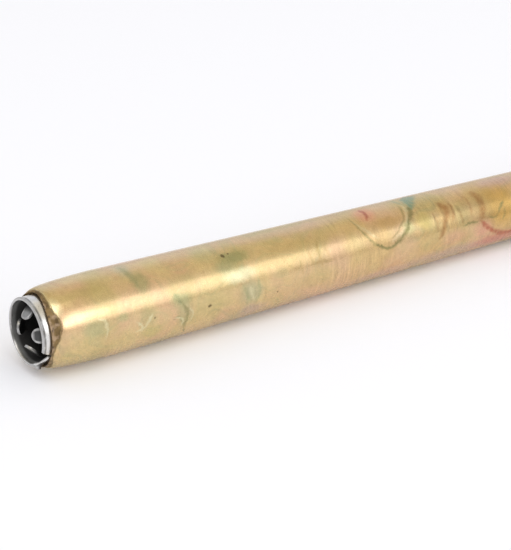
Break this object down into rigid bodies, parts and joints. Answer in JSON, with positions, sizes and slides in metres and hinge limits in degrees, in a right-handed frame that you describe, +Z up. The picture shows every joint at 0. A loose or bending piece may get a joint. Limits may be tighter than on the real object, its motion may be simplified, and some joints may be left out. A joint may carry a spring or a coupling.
{
  "type": "nib holder",
  "caption": "Straight lacquered wooden holder that grips a dip-pen nib between a split steel sleeve and sprung prongs inside it.",
  "frame": {"origin": "on the surface that the pen lies on, under the middle of its length", "axes": "+X along the pen from the nib end to the tail, +Z up, the sleeve's open seam low on the -Y side"},
  "size_m": [0.1664, 0.0108, 0.0109],
  "materials": {
    "handle_lacquer": "glossy gold marbled lacquer on turned wood, bare at the mouth",
    "sleeve_steel": "bright drawn sheet",
    "spring_steel": "bright spring sheet, dulled in the bore"
  },
  "bodies": {
    "holder": {"handle": "handle_lacquer", "ferrule_sleeve": "sleeve_steel", "prong_hub": "spring_steel"},
    "prong_top": {"prong_1": "spring_steel"},
    "prong_near": {"prong_2": "spring_steel"},
    "prong_bottom": {"prong_3": "spring_steel"},
    "prong_far": {"prong_4": "spring_steel"}
  },
  "joints": [
    {"name": "prong_top_spring", "type": "hinge", "parent": "holder", "child": "prong_top", "pos_m": [-0.06838, 0.00048, 0.00876], "axis": [0.002, -0.9903, 0.1392], "range_deg": [0, 2], "stiffness_Nm_per_rad": 0.17},
    {"name": "prong_near_spring", "type": "hinge", "parent": "holder", "child": "prong_near", "pos_m": [-0.06842, -0.00339, 0.00584], "axis": [-0.0145, -0.1392, -0.9902], "range_deg": [0, 2], "stiffness_Nm_per_rad": 0.17},
    {"name": "prong_bottom_spring", "type": "hinge", "parent": "holder", "child": "prong_bottom", "pos_m": [-0.06848, -0.00048, 0.00197], "axis": [-0.002, 0.9903, -0.1392], "range_deg": [0, 2], "stiffness_Nm_per_rad": 0.17},
    {"name": "prong_far_spring", "type": "hinge", "parent": "holder", "child": "prong_far", "pos_m": [-0.06844, 0.00339, 0.00489], "axis": [0.0145, 0.1392, 0.9902], "range_deg": [0, 2], "stiffness_Nm_per_rad": 0.17}
  ]
}
